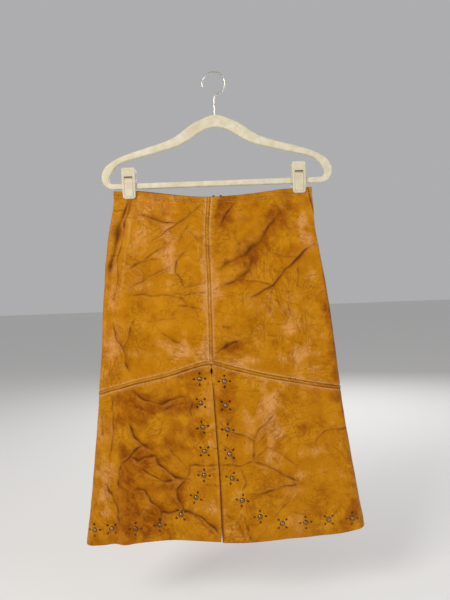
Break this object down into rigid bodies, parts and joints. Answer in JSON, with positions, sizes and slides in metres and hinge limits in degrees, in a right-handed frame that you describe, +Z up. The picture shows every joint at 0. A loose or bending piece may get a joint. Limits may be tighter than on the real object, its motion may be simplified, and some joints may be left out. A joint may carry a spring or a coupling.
{
  "type": "studded leather midi skirt on a clip hanger",
  "caption": "Straight leather midi skirt held by the waist in the two clips of a moulded hanger, with a chevron seam, a centre-front slit edged with domed studs and a zip at the back.",
  "frame": {"origin": "inside crown of the hanger's hook, where a rail carries it", "axes": "+Z up, -Y out of the skirt's front, +X to the right as seen from the front"},
  "size_m": [0.5406, 0.0751, 0.9074],
  "materials": {
    "leather": "semi-gloss golden tan with darker creases",
    "aged_metal": "antique, satin",
    "zip_tape": "matt woven",
    "ivory_plastic": "smooth ivory",
    "steel": "bright"
  },
  "bodies": {
    "skirt_and_hanger": {"front_hip_left": "leather", "front_hip_right": "leather", "front_hem_left": "leather", "front_hem_right": "leather", "back_left": "leather", "back_right": "leather", "welt_front_centre": "leather", "welt_yoke_left": "leather", "welt_yoke_right": "leather", "stud_front_left_1": "aged_metal", "stud_front_left_2": "aged_metal", "stud_front_left_3": "aged_metal", "stud_front_left_4": "aged_metal", "stud_front_left_5": "aged_metal", "stud_front_left_6": "aged_metal", "stud_front_left_7": "aged_metal", "stud_front_left_8": "aged_metal", "stud_front_left_9": "aged_metal", "stud_front_left_10": "aged_metal", "stud_front_left_11": "aged_metal", "stud_front_right_1": "aged_metal", "stud_front_right_2": "aged_metal", "stud_front_right_3": "aged_metal", "stud_front_right_4": "aged_metal", "stud_front_right_5": "aged_metal", "stud_front_right_6": "aged_metal", "stud_front_right_7": "aged_metal", "stud_front_right_8": "aged_metal", "stud_front_right_9": "aged_metal", "stud_front_right_10": "aged_metal", "stud_front_right_11": "aged_metal", "stud_back_1": "aged_metal", "stud_back_2": "aged_metal", "stud_back_3": "aged_metal", "stud_back_4": "aged_metal", "stud_back_5": "aged_metal", "stud_back_6": "aged_metal", "stud_back_7": "aged_metal", "stud_back_8": "aged_metal", "stud_back_9": "aged_metal", "stud_back_10": "aged_metal", "stud_back_11": "aged_metal", "stud_back_12": "aged_metal", "zip_tape_left": "zip_tape", "zip_tape_right": "zip_tape", "zip_slider": "aged_metal", "waist_hook": "aged_metal", "waist_eye": "aged_metal", "hanger_frame": "ivory_plastic", "hanger_hook": "steel", "clip_left_front_jaw": "ivory_plastic", "clip_left_rear_jaw": "ivory_plastic", "clip_left_spring": "steel", "clip_right_front_jaw": "ivory_plastic", "clip_right_rear_jaw": "ivory_plastic", "clip_right_spring": "steel"},
    "pull_tab": {"zip_pull": "aged_metal"}
  },
  "joints": [
    {"name": "pull_tab_hinge", "type": "hinge", "parent": "skirt_and_hanger", "child": "pull_tab", "pos_m": [-0.00122, 0.01388, -0.2505], "axis": [1, 0, 0], "range_deg": [0, 170]}
  ]
}
